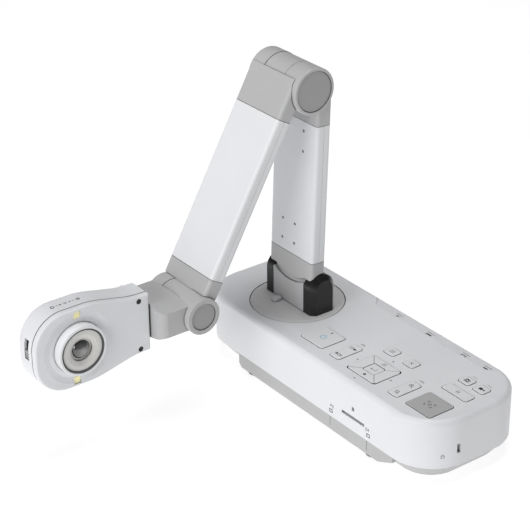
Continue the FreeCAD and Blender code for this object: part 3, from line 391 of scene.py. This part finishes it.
# Marks in the middle of a key: the mark's name, the key, its shapes, its ink, its material slot.
KEY_MARKS = [
    ("power_icon", "power_key", ring(0, 0, 1.9, 2.55, 120, 420) + bar(0, 2.1, 0.6, 2.4),
     BLUE_INK, "key_white"),
    ("power_lamp", "power_key", bar(0, 8.0, 0.9, 2.2), DARK_INK, "key_white"),
    ("source_icons", "source_rocker", SOURCE_SHAPES, DARK_INK, "key_white"),
    ("zoom_icons", "zoom_rocker", ZOOM_SHAPES, INK, "key_white"),
    ("enter_icon", "enter_key",
     bar(0.3, -0.9, 4.2, FINE) + bar(2.25, 0.3, FINE, 2.6) + arrow(-1.9, -0.9, 1.0, 180),
     PALE_INK, "key_white"),
    ("menu_icon", "menu_key",
     bar(0, 1.3, 4.2, LINE) + bar(0, 0, 4.2, LINE) + bar(0, -1.3, 4.2, LINE), PALE_INK, "key_white"),
    ("escape_icon", "escape_key", bar(0, 0, 3.6, LINE, 45) + bar(0, 0, 3.6, LINE, -45),
     PALE_INK, "key_white"),
    ("focus_icon", "focus_key", focus_brackets() + ring(0, 0, 0.9, 1.25), INK, "key_grey"),
    ("freeze_icon", "freeze_key", bar(-0.8, 0, 0.6, 2.8) + bar(0.8, 0, 0.6, 2.8), PALE_INK, "key_white"),
    ("capture_icon", "capture_key",
     ring(0, 0, 0.75, 1.35) + outline(0, -0.1, 4.4, 3.2, LINE) + bar(-0.9, 1.75, 1.5, 0.5),
     DARK_INK, "key_white"),
    ("record_icon", "record_key", bar(-0.8, 0, 3.0, 2.4) + arrow(1.9, 0, 1.3, 180),
     DARK_INK, "key_white"),
]


# ---- printed marks ------------------------------------------------------------------------------
# A face is its two directions: across, and up.
TOP_FACE = ((1, 0, 0), (0, 1, 0))
FRONT_FACE = ((1, 0, 0), (0, 0, 1))
HEAD_TOP_FACE = ((0, 1, 0), (-1, 0, 0))
# How far a mark's underside and its top are above the surface, in millimetres.
MARK_LEVELS = (-0.02, 0.04)


def mark(name, shapes, start, face, body, material):
    """A printed mark: flat shapes in millimetres, raised a hair from the surface it lies on."""
    across, up = Vector(face[0]), Vector(face[1])
    out = across.cross(up)
    origin = Vector(start)
    verts = []
    faces = []
    for loop in shapes:
        base = len(verts)
        n = len(loop)
        for level in MARK_LEVELS:
            verts += [origin + (across * x + up * y + out * level) * MM for x, y in loop]
        faces.append([base + n + i for i in range(n)])
        faces.append([base + i for i in reversed(range(n))])
        faces += [[base + i, base + (i + 1) % n, base + n + (i + 1) % n, base + n + i] for i in range(n)]
    mesh = bpy.data.meshes.new(name)
    mesh.from_pydata(verts, [], faces)
    mesh.validate()
    mesh.materials.append(material)
    piece = bpy.data.objects.new(name, mesh)
    bpy.context.scene.collection.objects.link(piece)
    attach(piece, body)


def key_face(node):
    """The middle of a key's top face."""
    low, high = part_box(node)
    return Vector(((low.x + high.x) / 2, (low.y + high.y) / 2, high.z))


for name, key, shapes, ink, slot in KEY_MARKS:
    mark(name, shapes, key_face(key), TOP_FACE, key, ink)

# The far and near direction keys carry a bright and a dim sign, close to their outer edges.
PAD_SIGN_INSET = 3.2 * MM
DIM_SIGN_SHIFT = 1.0 * MM
pad_low, pad_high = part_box("pad_up")
bright_spot = ((pad_low.x + pad_high.x) / 2, pad_high.y - PAD_SIGN_INSET, pad_high.z)
mark("bright_icon", sun(), bright_spot, TOP_FACE, "pad_up", INK)
pad_low, pad_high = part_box("pad_down")
dim_spot = ((pad_low.x + pad_high.x) / 2 + DIM_SIGN_SHIFT, pad_low.y + PAD_SIGN_INSET, pad_high.z)
mark("dark_icon", disc(0, 0, 1.15), dim_spot, TOP_FACE, "pad_down", INK)

# Four arrows on the cover round the direction keys.
cover_low, cover_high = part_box("base_cover")
TOP = cover_high.z
ARROW_SIZE = 0.95
enter_middle = key_face("enter_key")
pad_arrows = (arrow(-17.9, 0, ARROW_SIZE, 180) + arrow(17.9, 0, ARROW_SIZE, 0)
              + arrow(0, 17.6, ARROW_SIZE, 90) + arrow(0, -17.6, ARROW_SIZE, 270))
mark("pad_arrows", pad_arrows, (enter_middle.x, enter_middle.y, TOP), TOP_FACE, "base",
     DARK_INK)


def key_label(node, lines):
    """Plain bars behind a key, in place of words: each is its distance from the key and its size."""
    low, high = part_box(node)
    x, y = (low.x + high.x) / 2 / MM, high.y / MM
    return [loop for away, wide, tall in lines for loop in bar(x, y + away, wide, tall)]


ROCKER_LABEL = [(3.8, 5.2, FINE), (4.8, 3.4, FINE)]
KEY_LABEL = [(2.2, 4.6, HAIR)]
labels = (key_label("source_rocker", ROCKER_LABEL) + key_label("zoom_rocker", ROCKER_LABEL)
          + key_label("capture_key", KEY_LABEL) + key_label("record_key", KEY_LABEL))
mark("key_labels", labels, (0, 0, TOP), TOP_FACE, "base", PALE_INK)

# The sloping strip over the rear sockets starts at STRIP_Y. Each socket has a bar in place of its
# name, and a simple sign nearer the front, both at a distance from the strip's front edge.
STRIP_Y, STRIP_SLOPE = 36.5 * MM, math.radians(5.0)
STRIP_FACE = ((1, 0, 0), (0, math.cos(STRIP_SLOPE), -math.sin(STRIP_SLOPE)))
NAME_REACH, SIGN_REACH = 5.1, 2.4
USB_B_X, USB_A_X, ANALOGUE_X, DIGITAL_X, INLET_X = -40.0, 0.0, 34.0, 71.0, 93.0
port_names = []
for port_x in (USB_B_X, USB_A_X, ANALOGUE_X, DIGITAL_X, INLET_X):
    port_names += bar(port_x, NAME_REACH, 7.0, 0.5)
digital_sign = bar(0, 0.3, 4.6, 0.7) + bar(-2.0, -0.5, 0.7, 1.4) + bar(2.0, -0.5, 0.7, 1.4)
port_signs = (outline(USB_B_X, SIGN_REACH, 3.2, 2.0, 0.6) + bar(ANALOGUE_X, SIGN_REACH, 5.2, 1.5)
              + bar(USB_A_X, SIGN_REACH, 0.7, 2.2) + bar(USB_A_X, SIGN_REACH, 3.2, 0.6)
              + moved(digital_sign, DIGITAL_X, SIGN_REACH) + bar(INLET_X, SIGN_REACH, 4.2, 1.3))
strip_start = (0, STRIP_Y, TOP)
mark("port_names", port_names, strip_start, STRIP_FACE, "base", PALE_INK)
mark("port_icons", port_signs, strip_start, STRIP_FACE, "base", DARK_INK)

# On the front: a card over its slot, and a guide mark on each side of it, with a line on the tray.
CARD_ICON_Z = 31.8 * MM
CARD_SHAPE = [[(-1.2, -1.5), (1.2, -1.5), (1.2, 0.8), (0.5, 1.5), (-1.2, 1.5)]]
front_y = cover_low.y
slot_low, slot_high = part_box("sd_socket")
mark("card_icon", CARD_SHAPE, ((slot_low.x + slot_high.x) / 2, front_y, CARD_ICON_Z), FRONT_FACE,
     "base", PALE_INK)


def guide(side):
    """An arrow beside a bar, over a small frame. side says on which side the bar stands."""
    glyph = arrow(0, 4.2, 0.9, 90) + bar(side * 1.6, 3.9, 0.5, 2.2) + outline(0, 0.9, 2.6, 2.0, 0.45)
    return scaled(glyph, 1.4, 1.4)


GUIDE_Z, LEFT_GUIDE_X, RIGHT_GUIDE_X = 17.5 * MM, 30.5, 71.0
guides = moved(guide(1), LEFT_GUIDE_X, 0) + moved(guide(-1), RIGHT_GUIDE_X, 0)
mark("guide_marks", guides, (0, front_y, GUIDE_Z), FRONT_FACE, "base", INK)
TRAY_LINE_Z, LEFT_LINE_X, RIGHT_LINE_X = 9.5 * MM, 29.0, 69.0
tray_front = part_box("base_tray")[0].y
tray_lines = bar(LEFT_LINE_X, 0, LINE, 7.6) + bar(RIGHT_LINE_X, 0, LINE, 7.6)
mark("guide_lines", tray_lines, (0, tray_front, TRAY_LINE_Z), FRONT_FACE, "base", INK)

# The padlock is on the rounded front right corner. PADLOCK_REACH is from the corner's own centre.
CORNER_RADIUS, PADLOCK_REACH, PADLOCK_Z = 33.0 * MM, 32.99 * MM, 24.0 * MM
PADLOCK_TURN = math.radians(26.8)
CORNER_FACE = ((math.sin(PADLOCK_TURN), math.cos(PADLOCK_TURN), 0), (0, 0, 1))
padlock_spot = (cover_high.x - CORNER_RADIUS + PADLOCK_REACH * math.cos(PADLOCK_TURN),
                cover_low.y + CORNER_RADIUS - PADLOCK_REACH * math.sin(PADLOCK_TURN), PADLOCK_Z)
mark("padlock_icon", outline(0, -0.6, 2.6, 2.0, FINE) + ring(0, 0.4, 0.7, 1.0, 0, 180, 10),
     padlock_spot, CORNER_FACE, "base", PALE_INK)

# A row of small signs along the head's upper edge, above the lens.
HEAD_ROW_SCALE, HEAD_ROW_START = 1.15, -4.5
HEAD_ROW_OFFSET = (2.0 * MM, 4.0 * MM)
head_row = (ring(-9.5, 0, 0.9, 1.25) + bar(-6.6, 0, 1.5, LINE) + arrow(-4.2, 0, 1.1, 0)
            + bar(-1.0, 0.5, 2.2, FINE) + bar(-1.0, -0.5, 2.2, FINE) + disc(2.2, 0, 0.55)
            + bar(4.2, 0, 1.2, LINE) + ring(7.6, 0, 0.9, 1.25) + disc(7.6, 0, 0.4))
head_low, head_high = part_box("head_rear_shell")
lens_low, lens_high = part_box("lens_ring")
head_spot = ((head_low.x + head_high.x) / 2 + HEAD_ROW_OFFSET[0],
             (lens_low.y + lens_high.y) / 2 + HEAD_ROW_OFFSET[1], head_high.z)
mark("head_marks", moved(scaled(head_row, HEAD_ROW_SCALE, HEAD_ROW_SCALE), HEAD_ROW_START, 0),
     head_spot, HEAD_TOP_FACE, "head", INK)


# ---- studio -------------------------------------------------------------------------------------
# The floor glows by itself, which keeps it near white while soft shadows still show on it.
FLOOR_REACH, FLOOR_GREY, FLOOR_GLOW = 6.0, 0.30, 2.75
SKY_STRENGTH = 0.15


def pale_floor():
    r = FLOOR_REACH
    mesh = bpy.data.meshes.new("floor")
    mesh.from_pydata([(-r, -r, 0), (r, -r, 0), (r, r, 0), (-r, r, 0)], [], [(0, 1, 2, 3)])
    paper = (FLOOR_GREY, FLOOR_GREY, FLOOR_GREY, 1.0)
    mesh.materials.append(finish("floor_paper", paper, 0.8, mottle=0.01, edge=0.0001, glow=FLOOR_GLOW))
    floor = bpy.data.objects.new("floor", mesh)
    bpy.context.scene.collection.objects.link(floor)


def softbox(name, place, target, size, watts):
    data = bpy.data.lights.new(name, "AREA")
    data.shape = "RECTANGLE"
    data.size, data.size_y = size
    data.energy = watts
    light = bpy.data.objects.new(name, data)
    bpy.context.scene.collection.objects.link(light)
    light.location = place
    light.rotation_mode = "QUATERNION"
    light.rotation_quaternion = (Vector(target) - Vector(place)).to_track_quat("-Z", "Y")


pale_floor()
softbox("key_light", place=(0.35, -1.9, 0.75), target=(0.0, -0.05, 0.08), size=(1.2, 0.9), watts=19)
softbox("top_light", place=(0.0, 0.0, 1.9), target=(0.0, -0.05, 0.05), size=(1.0, 1.0), watts=18)

world = bpy.data.worlds.new("studio")
bpy.context.scene.world = world
world.use_nodes = True
sky = world.node_tree.nodes["Background"]
sky.inputs["Color"].default_value = (1.0, 1.0, 1.0, 1.0)
sky.inputs["Strength"].default_value = SKY_STRENGTH
bpy.context.scene.view_settings.view_transform = "Standard"

# ---- camera -------------------------------------------------------------------------------------
# Where the photograph was taken from: the direction back to the camera, its roll, and its place.
AZIMUTH, ELEVATION, ROLL = math.radians(53.29), math.radians(27.76), math.radians(-0.45)
CAMERA_PLACE = (0.83723, -0.70584, 0.68182)
SENSOR_WIDTH_MM, FOCAL_LENGTH_MM = 36.0, 119.19

back = Vector((math.sin(AZIMUTH) * math.cos(ELEVATION),
               -math.cos(AZIMUTH) * math.cos(ELEVATION), math.sin(ELEVATION)))
right = Vector((math.cos(AZIMUTH), math.sin(AZIMUTH), 0))
up = back.cross(right)
rolled_right = right * math.cos(ROLL) + up * math.sin(ROLL)
rolled_up = up * math.cos(ROLL) - right * math.sin(ROLL)
lens = bpy.data.cameras.new("photo_lens")
lens.sensor_width = SENSOR_WIDTH_MM
lens.lens = FOCAL_LENGTH_MM
lens.clip_start = 0.05
lens.clip_end = 50.0
viewer = bpy.data.objects.new("photo_camera", lens)
bpy.context.scene.collection.objects.link(viewer)
turn = Matrix((rolled_right, rolled_up, back)).transposed().to_4x4()
viewer.matrix_world = Matrix.Translation(CAMERA_PLACE) @ turn
bpy.context.scene.camera = viewer
